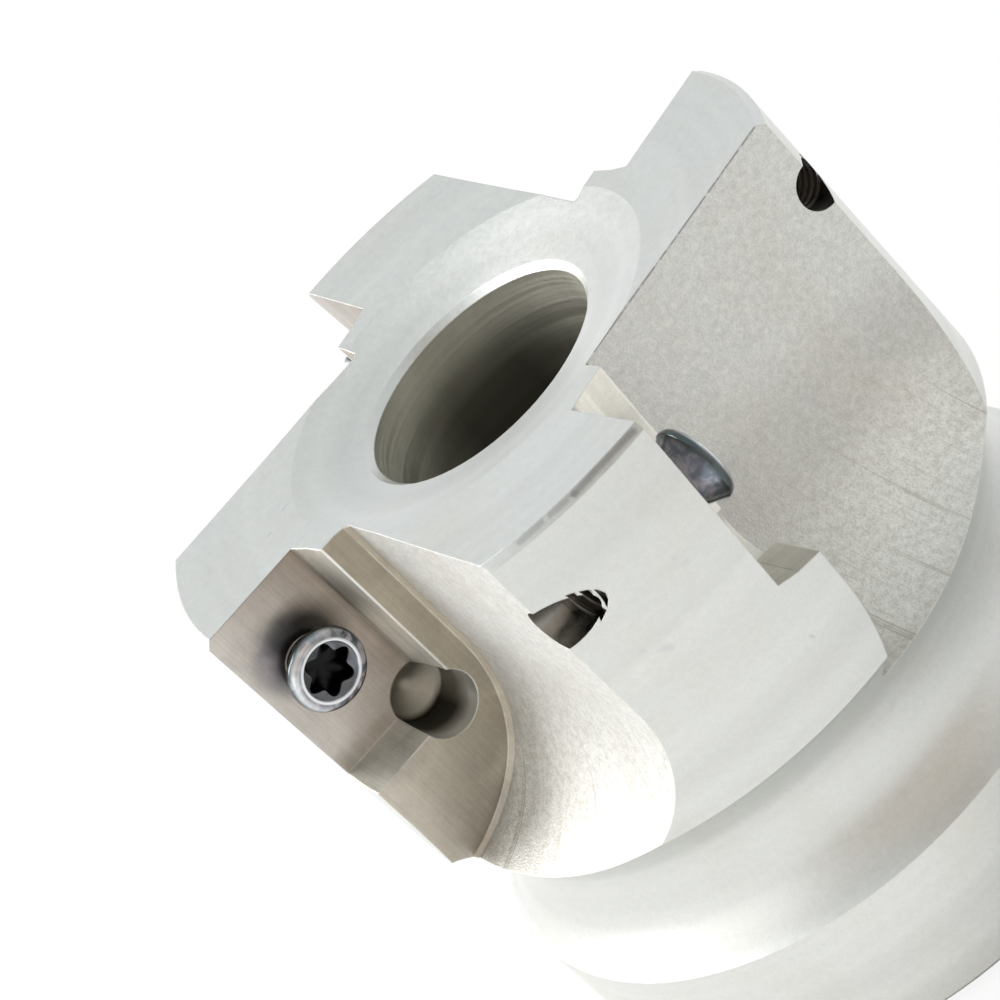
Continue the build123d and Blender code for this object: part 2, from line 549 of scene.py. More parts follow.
def lay_line_marks(tree, base, marks):
    """Lays marks over a colour, marks of use and painted shade, light and reflection alike: each is
    (start, end, width, gaps, strength, colour).
    """
    for start, end, width, gaps, strength, colour in marks:
        values = {"Start": start, "End": end, "Width": width, "Gaps": gaps}
        base = over(tree, base, colour, use_group(tree, mark_line, values)["Mask"], strength)
    return base


def straight_marks(tree, across, along, spacing, stretch=40.0):
    """Milling marks that run along a direction of the tooth."""
    values = {"Across": across, "Along": along, "Spacing": spacing, "Stretch": stretch}
    return use_group(tree, tool_marks, {"Place": tooth_place(tree), **values})


def nickel_base(tree, colour, warm, roughness, grain_size, speckle):
    """Plated nickel: its colour, roughness, grain and edges."""
    edge = use_group(tree, edge_wear_and_highlight, {"Radius": 0.12 * mm})
    grain = use_group(tree, blasted_grain, {"Size": grain_size})
    patch = use_group(tree, handling, {"Size": 7.0 * mm, "Low": 0.5, "High": 0.72})
    base = over(tree, colour, warm, patch["Mask"], 0.5)
    base = vary(tree, base, grain["Mottle"], 0.35, 0.65, 1 - speckle, 1 + speckle * 0.7)
    base = over(tree, base, pit_grey, grain["Pits"], 0.7)
    rough = spread(tree, grain["Mottle"], 0.3, 0.7, roughness - 0.06, roughness + 0.06)
    return base, rough, grain, edge


def turned_finish(name, colour, warm, roughness):
    """Turned and plated nickel: fine even grain over faint rings."""
    material, tree, shader = new_metal(name, roughness)
    base, rough, grain, edge = nickel_base(tree, colour, warm, roughness, 0.14 * mm, 0.05)
    rings = use_group(tree, lathe_marks, {"Spacing": 0.25 * mm})
    base = vary(tree, base, rings["Bands"], 0.3, 0.7, 0.95, 1.04)
    # Edges, partly worn and partly painted highlight
    base = over(tree, base, (0.82, 0.82, 0.80), edge["Mask"], 0.5)
    base = lay_line_marks(tree, base, turned_marks_and_reflection)
    normal = bump(tree, rings["Height"], 0.001 * mm, edge["Normal"])
    finish_metal(tree, shader, base, rough, bump(tree, grain["Height"], 0.004 * mm, normal))
    return material


def mill_lines(tree, base, lines, grain):
    """Lines of the end mill and a yellow dust, which show towards the lower end of a gullet."""
    low_end = spread(tree, split(tree, tooth_place(tree))["Y"], 0.5 * mm, 8 * mm)
    cut = times(tree, spread(tree, lines["Height"], 0.55, 0.63), spread(tree, lines["Bands"], 0.48, 0.58))
    base = over(tree, base, line_brown, cut, low_end, 0.45)
    return over(tree, base, dust_yellow, low_end, spread(tree, grain["Mottle"], 0.5, 0.4, 0.0, 0.22))


def blasted_finish(name, colour, warm, roughness):
    """Blasted gullet walls: coarse grain, and lines of the end mill."""
    material, tree, shader = new_metal(name, roughness)
    # Painted shade and light on the gullet walls
    toned = lay_line_marks(tree, colour, painted_gullet_light)
    base, rough, grain, edge = nickel_base(tree, toned, warm, roughness, 0.15 * mm, 0.16)
    across = (0, -sin(line_tilt), cos(line_tilt))
    along = (0, cos(line_tilt), sin(line_tilt))
    lines = straight_marks(tree, across, along, 0.22 * mm, 45.0)
    base = mill_lines(tree, base, lines, grain)
    # Edges, partly worn and partly painted highlight
    base = over(tree, base, (0.88, 0.88, 0.84), edge["Mask"], 0.6)
    base = lay_line_marks(tree, base, gullet_marks)
    normal = bump(tree, lines["Height"], 0.018 * mm, edge["Normal"])
    finish_metal(tree, shader, base, rough, bump(tree, grain["Height"], 0.045 * mm, normal))
    return material


def bright_edges(tree, base, parts, edge_mask, tone, edge_brightness):
    """Bright edges above the seat, partly worn and partly painted highlight, and a painted highlight
    along the top of the pocket's wall.
    """
    raised = spread(tree, parts["Z"], 0.9 * mm, 1.8 * mm)
    edges = times(tree, edge_mask, edge_brightness, raised)
    inwards = calc(tree, "ADD", parts["X"], pocket_brow[0])
    upwards = calc(tree, "SUBTRACT", parts["Z"], pocket_brow[1])
    from_brow = vector_calc(tree, "LENGTH", join(tree, X=inwards, Z=upwards))
    brow = times(
        tree,
        spread(tree, from_brow, 0.19 * mm, 0.09 * mm),
        spread(tree, parts["Y"], -11 * mm, 2 * mm, 1.0, 0.4),
        spread(tree, parts["Y"], 4 * mm, 2.5 * mm),
        spread(tree, tone, 0.3, 0.45, 0.6, 1.0),
    )
    return over(tree, base, worn_and_lit_steel, calc(tree, "MAXIMUM", edges, brow))


def painted_corner_shade(tree, base, parts):
    """Painted shade along the corner where the pocket's wall meets the seat."""
    inwards = calc(tree, "ADD", parts["X"], pocket_wall)
    from_corner = vector_calc(tree, "LENGTH", join(tree, X=inwards, Z=parts["Z"]))
    return over(tree, base, corner_shade_colour, spread(tree, from_corner, 0.1 * mm, 0.5 * mm, 0.4, 0.0))


def painted_screw_shadow(tree, base):
    """Painted shadow on the seat round the screw."""
    off = vector_calc(tree, "DISTANCE", tooth_place(tree), screw_shade)
    return over(tree, base, screw_shadow_black, spread(tree, off, 1.6 * mm, 3.4 * mm, 0.88, 0.0))


def milled_finish(name, colour, roughness, spacing, edge_brightness, inner, outer):
    """Bare milled steel with fine lines, and painted light and shade that runs from the gullet to the
    rim.
    """
    material, tree, shader = new_metal(name, roughness)
    edge = use_group(tree, edge_wear_and_highlight, {"Radius": 0.17 * mm, "Break Up": 500.0})
    lines = straight_marks(tree, (1, 0, 0), (0, 1, 0), spacing)
    patch = use_group(tree, handling, {"Size": 4.0 * mm, "Low": 0.35, "High": 0.75})
    grain = use_group(tree, blasted_grain, {"Size": 0.12 * mm})
    parts = split(tree, tooth_place(tree))
    base = vary(tree, colour, lines["Height"], 0.3, 0.7, 0.93, 1.06)
    base = vary(tree, base, patch["Tone"], 0.35, 0.65, 0.88, 1.1)
    base = vary(tree, base, grain["Mottle"], 0.35, 0.65, 0.95, 1.04)
    base = over(tree, base, pit_brown, grain["Pits"], 0.4)
    # Painted shadow round the screw
    base = painted_screw_shadow(tree, base)
    # Painted light and shade, from the gullet to the rim
    painted_light_tint = blend(tree, spread(tree, parts["X"], -5 * mm, 3.6 * mm), inner, outer)
    base = blend(tree, 1.0, base, painted_light_tint, "MULTIPLY")
    # Edges, partly worn and partly painted highlight, and a painted highlight along the top of the
    # pocket's wall
    base = bright_edges(tree, base, parts, edge["Mask"], patch["Tone"], edge_brightness)
    # Painted shade in the corner at the pocket's wall
    base = painted_corner_shade(tree, base, parts)
    rough = spread(tree, lines["Bands"], 0.3, 0.7, roughness - 0.05, roughness + 0.06)
    normal = bump(tree, lines["Height"], 0.002 * mm, edge["Normal"])
    finish_metal(tree, shader, base, rough, bump(tree, grain["Height"], 0.002 * mm, normal))
    return material


def painted_bore_shade(tree, parts):
    """Mask of painted shade down one side of the bore, below its mouth."""
    side = vector_calc(tree, "NORMALIZE", join(tree, X=parts["X"], Y=parts["Y"]))
    facing = vector_calc(tree, "DOT_PRODUCT", side, direction(-97, 0))
    deep = spread(tree, parts["Z"], body_height - 3.5 * mm, body_height - 7.5 * mm)
    return times(tree, spread(tree, facing, 0.64, 0.95), deep)


def bored_finish(name, colour, roughness, spacing):
    """Bored steel with rings, and painted shade: lighter at its mouth, darker deeper down and down one
    side.
    """
    material, tree, shader = new_metal(name, roughness)
    edge = use_group(tree, edge_wear_and_highlight, {"Radius": 0.1 * mm})
    lines = use_group(tree, lathe_marks, {"Spacing": spacing})
    patch = use_group(tree, handling, {"Size": 6.0 * mm, "Low": 0.4, "High": 0.75})
    parts = split(tree, object_place(tree))
    base = vary(tree, colour, lines["Bands"], 0.3, 0.7, 0.8, 1.15)
    base = vary(tree, base, lines["Height"], 0.3, 0.7, 0.9, 1.08)
    # Painted shade: darker deeper in the bore, lighter at its mouth
    base = vary(tree, base, parts["Z"], body_height - 13 * mm, body_height - 4 * mm, 0.5, 1.15)
    base = vary(tree, base, patch["Tone"], 0.3, 0.7, 0.88, 1.1)
    # Painted shade down one side of the bore
    base = over(tree, base, bore_shade_green, painted_bore_shade(tree, parts), 0.85)
    # Edges, partly worn and partly painted highlight
    base = over(tree, base, (0.8, 0.8, 0.78), edge["Mask"], 0.6)
    rough = spread(tree, lines["Height"], 0.3, 0.7, roughness - 0.05, roughness + 0.07)
    finish_metal(tree, shader, base, rough, bump(tree, lines["Height"], 0.003 * mm, edge["Normal"]))
    return material


def drilled_finish(name, colour, roughness):
    """Dark tapped steel with a film of oil."""
    material, tree, shader = new_metal(name, roughness)
    edge = use_group(tree, edge_wear_and_highlight, {"Radius": 0.05 * mm})
    patch = use_group(tree, handling, {"Size": 1.2 * mm, "Low": 0.35, "High": 0.75})
    base = vary(tree, colour, patch["Tone"], 0.3, 0.7, 0.75, 1.2)
    rough = spread(tree, patch["Tone"], 0.3, 0.7, roughness - 0.08, roughness + 0.1)
    finish_metal(tree, shader, base, rough, edge["Normal"])
    return material


def relief_finish(name, colour, roughness):
    """Drilled clearance hole with painted light and shade: lighter at its rim, darker on one side of its
    point, and a painted shadow at its foot.
    """
    material, tree, shader = new_metal(name, roughness)
    edge = use_group(tree, edge_wear_and_highlight, {"Radius": 0.14 * mm})
    patch = use_group(tree, handling, {"Size": 1.5 * mm, "Low": 0.35, "High": 0.75})
    parts = split(tree, tooth_place(tree))
    outwards = calc(tree, "SUBTRACT", parts["X"], relief_place[0])
    down = calc(tree, "SUBTRACT", parts["Y"], relief_place[1])
    reach = vector_calc(tree, "LENGTH", join(tree, X=outwards, Y=down))
    foot = times(
        tree,
        spread(tree, parts["Z"], 2.6 * mm, 0.9 * mm),
        spread(tree, outwards, -2.0 * mm, -0.7 * mm),
        spread(tree, reach, 1.9 * mm, 2.25 * mm),
    )
    point = spread(tree, parts["Z"], -0.9 * mm, -1.5 * mm)
    base = vary(tree, colour, patch["Tone"], 0.3, 0.7, 0.8, 1.15)
    # Painted shade on one side of the drill point
    painted_point_shade = spread(tree, outwards, -0.6 * mm, 1.7 * mm, 0.0, 0.65)
    base = over(tree, base, (0.10, 0.085, 0.065), painted_point_shade, point)
    # Painted light, lighter towards the hole's rim
    base = over(tree, base, rim_light_and_wear_steel, spread(tree, parts["Z"], 0.3 * mm, 2.2 * mm))
    # Painted shadow at the hole's foot
    base = over(tree, base, relief_shadow_black, foot, 0.92)
    # Edges of the hole, partly worn and partly painted highlight
    base = over(tree, base, rim_light_and_wear_steel, edge["Mask"], spread(tree, parts["Z"], 0.5 * mm, 1.5 * mm))
    rough = spread(tree, patch["Tone"], 0.3, 0.7, roughness - 0.08, roughness + 0.1)
    finish_metal(tree, shader, base, rough, edge["Normal"])
    return material


def dome_tone_and_reflection(tree, flat, height, reach):
    """Colour of the screw's head with painted reflection: bright on one side, dark on the other and at
    the rim, and painted shade on its underside.
    """
    turn = vector_calc(tree, "NORMALIZE", flat)
    facing = vector_calc(tree, "DOT_PRODUCT", turn, (0.75, -0.66, 0))
    patch = use_group(tree, handling, {"Size": 0.9 * mm, "Low": 0.45, "High": 0.6})
    # Painted reflection: bright on one side, dark on the other
    base = blend(tree, spread(tree, facing, -0.4, 0.95), (0.06, 0.07, 0.08), (0.84, 0.88, 0.92))
    base = vary(tree, base, noise(tree, turn, 2.2, 2.0), 0.35, 0.65, 0.7, 1.1)
    # Painted dark reflection in a band next to the ring
    base = over(tree, base, (0.17, 0.16, 0.185), spread(tree, reach, 2.48 * mm, 2.26 * mm, 0.0, 0.75))
    # Painted shade on the head's underside
    under = spread(tree, height, head_base + 0.1 * mm, head_base - 0.1 * mm)
    base = over(tree, base, (0.20, 0.23, 0.28), under)
    base = over(tree, base, (0.72, 0.66, 0.72), patch["Mask"], 0.4)
    # Painted dark reflection at the rim
    return over(tree, base, (0.10, 0.115, 0.12), spread(tree, reach, 2.6 * mm, 2.76 * mm))


def socket_tone(tree, base, height, reach, inside):
    """Lays the bright ring, painted shade in the recess and the socket, and a darker shank over the
    screw's colour.
    """
    recess = crown_height - mouth_depth
    crest = spread(tree, height, crown_height - 0.1 * mm, crown_height - 0.02 * mm)
    ring = spread(tree, reach, ring_outer + 0.04 * mm, ring_outer - 0.04 * mm)
    base = over(tree, base, (0.74, 0.77, 0.80), crest, ring)
    shelf = spread(tree, height, crown_height - 0.08 * mm, recess + 0.05 * mm)
    # Painted shade in the recess round the socket
    base = over(tree, base, (0.17, 0.18, 0.20), inside, shelf)
    deep = spread(tree, height, recess - 0.06 * mm, recess - 0.3 * mm)
    # Painted shade deep in the socket
    base = over(tree, base, (0.02, 0.02, 0.022), inside, deep)
    # Darker shank below the seat
    return over(tree, base, (0.2, 0.19, 0.18), spread(tree, height, 0.3 * mm, 0.0))


def screw_finish():
    """Polished screw, with its parts told apart by the place on the screw."""
    material, tree, shader = new_metal("polished_screw_steel", 0.12)
    edge = use_group(tree, edge_wear_and_highlight, {"Radius": 0.05 * mm})
    parts = split(tree, put(tree, "ShaderNodeAttribute", attribute_name="screw_place").outputs["Vector"])
    flat = join(tree, X=parts["X"], Y=parts["Y"])
    reach = vector_calc(tree, "LENGTH", flat)
    inside = spread(tree, reach, ring_inner + 0.03 * mm, ring_inner - 0.02 * mm)
    base = dome_tone_and_reflection(tree, flat, parts["Z"], reach)
    base = socket_tone(tree, base, parts["Z"], reach, inside)
    across = calc(tree, "DIVIDE", reach, 0.05 * mm)
    along = calc(tree, "DIVIDE", parts["Z"], 0.05 * mm)
    rings = noise(tree, join(tree, X=across, Y=along), 1.0, 2.0)
    rough = calc(tree, "ADD", spread(tree, rings, 0.3, 0.7, 0.1, 0.2), times(tree, inside, 0.2))
    finish_metal(tree, shader, base, rough, bump(tree, rings, 0.0006 * mm, edge["Normal"]))
    return material


finishes = {
    "turned": turned_finish("turned_nickel", (0.70, 0.71, 0.70), (0.68, 0.665, 0.63), 0.36),
    "gullet": blasted_finish("blasted_nickel", (0.75, 0.75, 0.735), (0.69, 0.67, 0.63), 0.6),
    "floor": milled_finish(
        "milled_gullet_floor", (0.46, 0.415, 0.35), 0.36, 0.18 * mm, 0.6,
        inner=(0.86, 0.84, 0.80), outer=(1.12, 1.14, 1.18)),
    "seat": milled_finish(
        "milled_seat", (0.44, 0.395, 0.35), 0.32, 0.14 * mm, 0.6,
        inner=(0.69, 0.63, 0.58), outer=(1.26, 1.31, 1.40)),
    "wall": milled_finish(
        "milled_pocket_wall", (0.76, 0.745, 0.69), 0.55, 0.14 * mm, 1.0,
        inner=(1.15, 1.15, 1.15), outer=(0.8, 0.8, 0.78)),
    "bore": bored_finish("bored_steel", (0.68, 0.67, 0.60), 0.6, 0.2 * mm),
    "relief": relief_finish("drilled_steel", (0.56, 0.53, 0.47), 0.5),
    "slot": blasted_finish("slotted_nickel", (0.64, 0.64, 0.62), (0.58, 0.55, 0.50), 0.4),
    "thread": drilled_finish("tapped_steel", (0.30, 0.285, 0.26), 0.3),
}
finish_order = list(finishes)


def screw_frame():
    """Frame of the first insert screw: the seat's axes, centred on the screw."""
    place = teeth[0].copy()
    local = place.inverted()
    spots = [local @ vertex.co for vertex in nodes["insert_screw_1"].data.vertices]
    middle = [(min(s[i] for s in spots) + max(s[i] for s in spots)) / 2 for i in (0, 1)]
    place.translation = place @ Vector((*middle, 0))
    return place


first_screw = screw_frame()
screw_spot = teeth[0].inverted() @ first_screw.translation


# Body: a copy of the solid's mesh, sorted into finishes

def merged_copy(node):
    """Mesh of a CAD node with its triangles joined, and each corner's normal kept in a layer."""
    mesh = node.data
    normals = [corner.vector.copy() for corner in mesh.corner_normals]
    work = bmesh.new()
    work.from_mesh(mesh)
    layer = work.loops.layers.float_vector.new("solid_normal")
    corners = [loop for face in work.faces for loop in face.loops]
    for loop, normal in zip(corners, normals):
        loop[layer] = normal
    bmesh.ops.remove_doubles(work, verts=work.verts, dist=weld_distance)
    return work, layer


def runs_smooth(edge, layer):
    """True where the solid's surface is smooth across an edge."""
    first, second = edge.link_loops
    limit = cos(radians(smooth_turn))
    start = first[layer].dot(second.link_loop_next[layer])
    end = first.link_loop_next[layer].dot(second[layer])
    return start > limit and end > limit


def smooth_neighbours(face, layer):
    """Faces that a face runs smoothly into."""
    shared = [edge for edge in face.edges if len(edge.link_faces) == 2 and runs_smooth(edge, layer)]
    return [other for edge in shared for other in edge.link_faces if other is not face]


def smooth_regions(work, layer):
    """Groups of faces that run smoothly into each other."""
    seen = set()
    regions = []
    for seed in work.faces:
        if seed in seen:
            continue
        seen.add(seed)
        region = []
        waiting = [seed]
        while waiting:
            face = waiting.pop()
            region.append(face)
            for other in smooth_neighbours(face, layer):
                if other not in seen:
                    seen.add(other)
                    waiting.append(other)
        regions.append(region)
    return regions


def tooth_of(point):
    """Number, from 0, of the tooth whose gullet a point is in."""
    angle = degrees(atan2(point.y, point.x))
    return floor((angle + gullet_lead) / tooth_pitch) % tooth_count


def region_measures(region):
    """Centre, mean normal, mean sideways lean and mean reach of a region, weighed by area."""
    area = lean = reach = 0.0
    centre, normal = Vector(), Vector()
    for face in region:
        size = face.calc_area()
        spot = face.calc_center_median()
        side = Vector((-spot.y, spot.x, 0)).normalized()
        area += size
        centre += size * spot
        normal += size * face.normal
        lean += size * abs(face.normal.dot(side))
        reach += size * hypot(spot.x, spot.y)
    return centre / area, normal / area, lean / area, reach / area


def hole_finish(centre, normal):
    """Finish of a tapped hole or a clearance hole, or None for any other region."""
    curled = normal.length < curl_limit
    for seat in teeth:
        spot = seat.inverted() @ centre
        sunk = relief_foot < spot.z < -seat_margin
        from_screw = hypot(spot.x - screw_spot.x, spot.y - screw_spot.y)
        from_relief = hypot(spot.x - relief_place[0], spot.y - relief_place[1])
        if curled and from_screw < hole_reach:
            return "thread"
        if from_relief < relief_reach and spot.z < relief_top and (curled or sunk):
            return "relief"
    return None


def cut_finish(centre, normal):
    """Finish of a seat, a wall of a pocket, or a floor or wall of a gullet."""
    place = teeth[tooth_of(centre)]
    height = (place.inverted() @ centre).z
    facing = normal.dot(place.col[2].to_3d())
    if facing > floor_facing:
        return "seat" if abs(height) < seat_margin else "floor"
    if -seat_margin < height < wall_top and abs(facing) < wall_facing:
        return "wall"
    return "gullet"


def finish_of(region):
    """Name of the finish of a region, from where it lies and which way it faces."""
    centre, normal, lean, reach = region_measures(region)
    if lean < turned_lean:
        deep = slot_depth < centre.z < body_height - nose_band
        return "bore" if deep and reach < bore_limit else "turned"
    if centre.z < slot_depth + slot_margin:
        return "slot"
    return hole_finish(centre, normal) or cut_finish(centre, normal)


def sort_finishes(work, layer):
    """Gives each face its finish and a region number."""
    numbers = work.faces.layers.int.new("region")
    for number, region in enumerate(smooth_regions(work, layer)):
        finish = finish_order.index(finish_of(region))
        for face in region:
            face.material_index = finish
            face[numbers] = number + 1


def piece_from(work, name, materials):
    """New object at the origin from a bmesh."""
    mesh = bpy.data.meshes.new(name)
    work.to_mesh(mesh)
    work.free()
    for material in materials:
        mesh.materials.append(material)
    piece = bpy.data.objects.new(name, mesh)
    bpy.context.scene.collection.objects.link(piece)
    return piece


# Geometry node trees

def new_tree(name, inputs):
    """Geometry node tree with named inputs: (name, kind, value)."""
    tree = bpy.data.node_groups.new(name, "GeometryNodeTree")
    tree.interface.new_socket("Geometry", in_out="INPUT", socket_type="NodeSocketGeometry")
    for label, kind, value in inputs:
        socket = tree.interface.new_socket(label, in_out="INPUT", socket_type="NodeSocket" + kind)
        if value is not None:
            socket.default_value = value
    tree.interface.new_socket("Geometry", in_out="OUTPUT", socket_type="NodeSocketGeometry")
    return tree, tree.nodes.new("NodeGroupInput").outputs, tree.nodes.new("NodeGroupOutput").inputs


def end_tree(tree, geometry, finish, out):
    """Ends a tree with plain geometry in one material."""
    whole = put(tree, "GeometryNodeRealizeInstances", {"Geometry": geometry})
    finished = put(tree, "GeometryNodeSetMaterial", {"Geometry": whole.outputs[0], "Material": finish})
    tree.links.new(finished.outputs[0], out[0])


def build_thread_ridge():
    """One helical ridge of a thread, with a triangular section, up from the origin along Z."""
    tree, given, out = new_tree("thread_ridge", [
        ("Pitch", "Float", thread_pitch), ("Length", "Float", tap_depth), ("Crest", "Float", tap_crest),
        ("Root", "Float", tap_root), ("Steps", "Int", tap_steps), ("Finish", "Material", None),
    ])
    size = times(tree, calc(tree, "SUBTRACT", given["Crest"], given["Root"]), 2 / 3)
    reach = calc(tree, "SUBTRACT", given["Crest"], size)
    turns = calc(tree, "DIVIDE", given["Length"], given["Pitch"])
    helix = put(tree, "GeometryNodeCurveSpiral", {
        "Resolution": given["Steps"], "Rotations": turns,
        "Start Radius": reach, "End Radius": reach, "Height": given["Length"],
    })
    upright = put(tree, "GeometryNodeSetCurveNormal", {"Curve": helix.outputs[0]})
    upright.mode = "Z_UP"
    section = put(tree, "GeometryNodeCurvePrimitiveCircle", {"Resolution": 3, "Radius": size})
    ridge = put(tree, "GeometryNodeCurveToMesh", {
        "Curve": upright.outputs[0], "Profile Curve": section.outputs[0], "Fill Caps": True})
    end_tree(tree, ridge.outputs[0], given["Finish"], out)
    return tree


def build_around_cutter():
    """Copies of a piece, evenly turned round the cutter's axis."""
    inputs = [("Count", "Int", tooth_count), ("Finish", "Material", None)]
    tree, given, out = new_tree("around_cutter", inputs)
    spots = put(tree, "GeometryNodePoints", {"Count": given["Count"]})
    number = put(tree, "GeometryNodeInputIndex").outputs[0]
    angle = calc(tree, "DIVIDE", times(tree, number, tau), given["Count"])
    copies = put(tree, "GeometryNodeInstanceOnPoints", {
        "Points": spots.outputs[0], "Instance": given["Geometry"], "Rotation": join(tree, Z=angle)})
    end_tree(tree, copies.outputs[0], given["Finish"], out)
    return tree


def grow(piece, tree, values):
    """Runs a geometry tree on a piece, and leaves the result as its plain mesh."""
    modifier = piece.modifiers.new(tree.name, "NODES")
    modifier.node_group = tree
    for item in tree.interface.items_tree:
        if item.item_type == "SOCKET" and item.in_out == "INPUT" and item.name in values:
            modifier[item.identifier] = values[item.name]
    bake_modifiers(piece)


def bake_modifiers(piece):
    """Replaces a piece's mesh by what its modifiers make of it."""
    view = bpy.context.evaluated_depsgraph_get()
    view.update()
    mesh = bpy.data.meshes.new_from_object(piece.evaluated_get(view), depsgraph=view)
    piece.modifiers.clear()
    piece.data = mesh


def make_taps():
    """Four threaded ridges, one down each tapped hole, that cut the thread."""
    taps = piece_from(bmesh.new(), "thread_taps", [])
    grow(taps, build_thread_ridge(), {"Finish": finishes["thread"]})
    lift = Matrix.Translation(Vector((0, 0, tap_lift - tap_depth)))
    taps.data.transform(first_screw @ lift)
    grow(taps, around_cutter, {"Finish": finishes["thread"]})
    return taps


def cut_threads(body, taps):
    """Cuts the thread into the tapped holes of the body."""
    cut = body.modifiers.new("thread_cut", "BOOLEAN")
    cut.operation = "DIFFERENCE"
    cut.solver = "EXACT"
    cut.material_mode = "TRANSFER"
    cut.object = taps
    bake_modifiers(body)
    bpy.data.objects.remove(taps)


def crease_edges(mesh):
    """Smooth shading, with sharp edges where regions meet and at steep steps."""
    work = bmesh.new()
    work.from_mesh(mesh)
    numbers = work.faces.layers.int["region"]
    for face in work.faces:
        face.smooth = True
    for edge in work.edges:
        if len(edge.link_faces) != 2:
            edge.smooth = False
            continue
        first, second = edge.link_faces
        limit = crease_turn if first[numbers] == second[numbers] else border_turn
        edge.smooth = edge.calc_face_angle(0) <= radians(limit)
    work.to_mesh(mesh)
    work.free()


def write_tooth_places(mesh):
    """Corner attribute with each point's place in the frame of its tooth."""
    inverses = [place.inverted() for place in teeth]
    values = np.zeros((len(mesh.loops), 3), np.float32)
    for face in mesh.polygons:
        inverse = inverses[tooth_of(face.center)]
        for index in face.loop_indices:
            values[index] = inverse @ mesh.vertices[mesh.loops[index].vertex_index].co
    attribute = mesh.attributes.new("tooth_place", "FLOAT_VECTOR", "CORNER")
    attribute.data.foreach_set("vector", values.ravel())


def make_body():
    """Cutter body with its finishes and threads."""
    work, layer = merged_copy(nodes["cutter_body"])
    sort_finishes(work, layer)
    work.loops.layers.float_vector.remove(layer)
    body = piece_from(work, "milled_body", finishes.values())
    for name in [a.name for a in body.data.attributes if a.name in ("custom_normal", "sharp_face")]:
        body.data.attributes.remove(body.data.attributes[name])
    cut_threads(body, make_taps())
    crease_edges(body.data)
    write_tooth_places(body.data)
    return body


# Insert screws: each ring gives a radius and a height at an angle

def thread_radius(angle, height):
    """Radius of the screw's thread at an angle and a height along it."""
    turn = (height + tap_depth - tap_lift) / thread_pitch - angle / tau
    off = abs(turn - round(turn)) * thread_pitch
    ends = min(height - screw_tip - tip_chamfer, -height) / thread_run_out
    crest = thread_core + (thread_crest - thread_core) * max(0, min(1, ends))
    return max(thread_core, crest - off / thread_flank)


def socket_radius(angle):
    """Radius of the six-lobe socket at an angle."""
    return lobe_middle + lobe_swing * cos(socket_lobes * angle)


def shank_rings():
    """Rings of the threaded shank, from its tip to the seat."""
    bottom = screw_tip + tip_chamfer
    count = ceil(-bottom / thread_pitch * thread_rings)
    heights = [bottom * (1 - step / count) for step in range(1, count)]
    rings = [lambda a: (thread_core - tip_chamfer, screw_tip), lambda a: (thread_core, bottom)]
    rings += [lambda a, h=height: (thread_radius(a, h), h) for height in heights]
    return rings + [lambda a: (thread_core, 0)]


def head_rings():
    """Rings of the head: its rim, its dome, the bright ring and the recess round the socket."""
    shoulder = head_base + rim_height
    rise = crown_height - shoulder
    middle = (ring_outer + ring_inner) / 2
    profile = [(head_radius - rim_break, head_base - rim_break)]
    profile += [(head_radius, head_base), (head_radius, shoulder)]
    for step in range(1, dome_steps + 1):
        sweep = step / dome_steps * pi / 2
        reach = ring_outer + (head_radius - ring_outer) * cos(sweep)
        profile.append((reach, shoulder + rise * sin(sweep) - ring_sag))
    profile += [(middle + ring_flat, crown_height), (middle - ring_flat, crown_height)]
    profile += [(ring_inner, crown_height - ring_sag)]
    profile += [(ring_inner - mouth_draft, crown_height - mouth_depth)]
    return [lambda a, p=point: p for point in profile]


def socket_rings():
    """Rings of the six-lobe socket, from its mouth to its floor."""
    mouth = crown_height - mouth_depth
    return [
        lambda a: (socket_radius(a) + socket_break, mouth),
        lambda a: (socket_radius(a), mouth - socket_lead),
        lambda a: (socket_radius(a), (mouth + socket_floor) / 2),
        lambda a: (socket_radius(a), socket_floor),
        lambda a: (socket_radius(a) / 2, (socket_floor + socket_point) / 2),
    ]


def add_spot(work, places, spot):
    """Vertex of the first screw, which keeps its place on the screw."""
    vertex = work.verts.new(first_screw @ spot)
    vertex[places] = spot
    return vertex


def add_ring(work, places, ring):
    """Vertices of one ring."""
    row = []
    for step in range(screw_sides):
        angle = step * tau / screw_sides
        reach, height = ring(angle)
        row.append(add_spot(work, places, Vector((reach * cos(angle), reach * sin(angle), height))))
    return row


def join_rows(work, low, high):
    """Band of faces between two rows of vertices."""
    for step in range(screw_sides):
        after = (step + 1) % screw_sides
        work.faces.new((low[step], low[after], high[after], high[step]))


def close_end(work, places, row, height, facing_down):
    """Fan of triangles from a row to a point on the axis."""
    middle = add_spot(work, places, Vector((0, 0, height)))
    for step in range(screw_sides):
        pair = (row[step], row[(step + 1) % screw_sides])
        work.faces.new((*(reversed(pair) if facing_down else pair), middle))


def make_screws():
    """Four insert screws, turned on their own axis and set round the cutter."""
    work = bmesh.new()
    places = work.verts.layers.float_vector.new("screw_place")
    rows = [add_ring(work, places, ring) for ring in shank_rings() + head_rings() + socket_rings()]
    for low, high in zip(rows, rows[1:]):
        join_rows(work, low, high)
    close_end(work, places, rows[0], screw_tip, True)
    close_end(work, places, rows[-1], socket_point, False)
    for face in work.faces:
        face.smooth = True
    for edge in work.edges:
        edge.smooth = edge.calc_face_angle(0) < radians(screw_crease)
    screws = piece_from(work, "insert_screws", [])
    grow(screws, around_cutter, {"Finish": screw_steel})
    return screws


# Studio

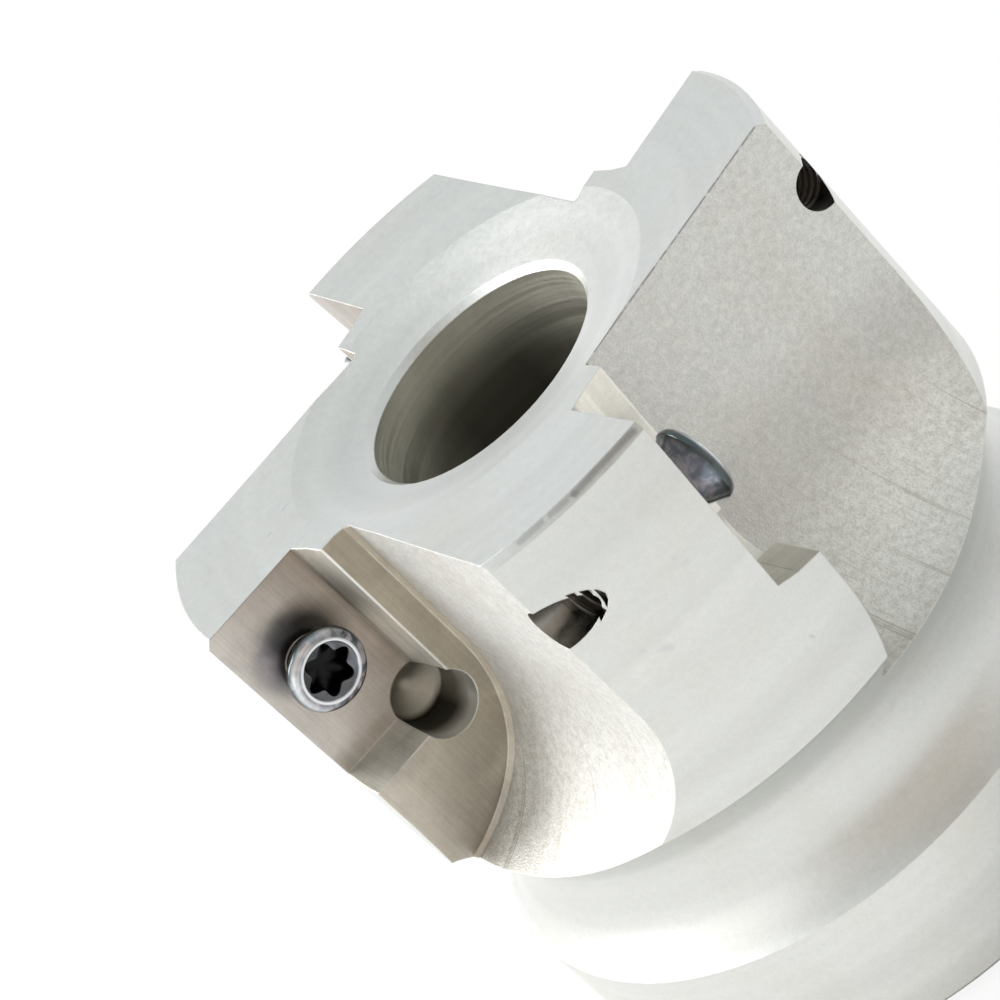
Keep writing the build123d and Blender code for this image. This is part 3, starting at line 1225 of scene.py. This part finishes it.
def add_world():
    """Soft studio: darker overhead, brighter to one side, warm and dim behind the camera."""
    world = bpy.data.worlds.new("studio")
    world.use_nodes = True
    tree = world.node_tree
    way = put(tree, "ShaderNodeTexCoord").outputs["Generated"]
    bright = vector_calc(tree, "DOT_PRODUCT", way, direction(-20, 0))
    dim = vector_calc(tree, "DOT_PRODUCT", way, direction(90, 12))
    dark = vector_calc(tree, "DOT_PRODUCT", way, direction(102, 60))
    overhead = spread(tree, split(tree, way)["Z"], 0.2, 0.58)
    colour = blend(tree, overhead, (0.98, 1.0, 1.0), (0.735, 0.765, 0.755))
    colour = over(tree, colour, (1.52, 1.50, 1.46), spread(tree, bright, 0.36, 0.82))
    colour = over(tree, colour, (0.66, 0.60, 0.53), spread(tree, dim, 0.65, 0.92))
    colour = over(tree, colour, (0.40, 0.35, 0.30), spread(tree, dark, 0.96, 0.995))
    back = tree.nodes["Background"]
    feed(tree, colour, back.inputs["Color"])
    back.inputs["Strength"].default_value = 1.0
    bpy.context.scene.world = world


def floor_paint():
    """Plain pale paint, near white to the camera, with the cutter's soft shadow on it."""
    paint = bpy.data.materials.new("floor_paint")
    paint.use_nodes = True
    tree = paint.node_tree
    tree.nodes.clear()
    plain = put(tree, "ShaderNodeBsdfDiffuse", {"Color": (0.83, 0.83, 0.825)})
    lit = put(tree, "ShaderNodeEmission", {"Color": (1.0, 1.0, 1.0), "Strength": 1.0})
    seen = times(tree, put(tree, "ShaderNodeLightPath").outputs["Is Camera Ray"], 0.86)
    both = put(tree, "ShaderNodeMixShader", {0: seen, 1: plain.outputs[0], 2: lit.outputs[0]})
    end = put(tree, "ShaderNodeOutputMaterial")
    tree.links.new(both.outputs[0], end.inputs[0])
    return paint


def add_floor():
    """Plain pale floor under the cutter."""
    size = 2.0
    corners = [(-size, -size, 0), (size, -size, 0), (size, size, 0), (-size, size, 0)]
    mesh = bpy.data.meshes.new("floor")
    mesh.from_pydata(corners, [], [(0, 1, 2, 3)])
    mesh.materials.append(floor_paint())
    floor_piece = bpy.data.objects.new("floor", mesh)
    bpy.context.scene.collection.objects.link(floor_piece)


screw_steel = screw_finish()
around_cutter = build_around_cutter()

add_camera()
add_world()
add_floor()
add_lamp("key_lamp", -40, 45, 0.8, 0.5, 4.6, (1, 0.985, 0.96))
add_lamp("side_lamp", -15, 8, 0.5, 0.12, 0.12)

body = make_body()
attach(body, "root")
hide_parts("cutter_body")

screws = make_screws()
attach(screws, "root")
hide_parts(*[f"insert_screw_{number + 1}" for number in range(tooth_count)])

bpy.context.scene.view_settings.view_transform = "Standard"
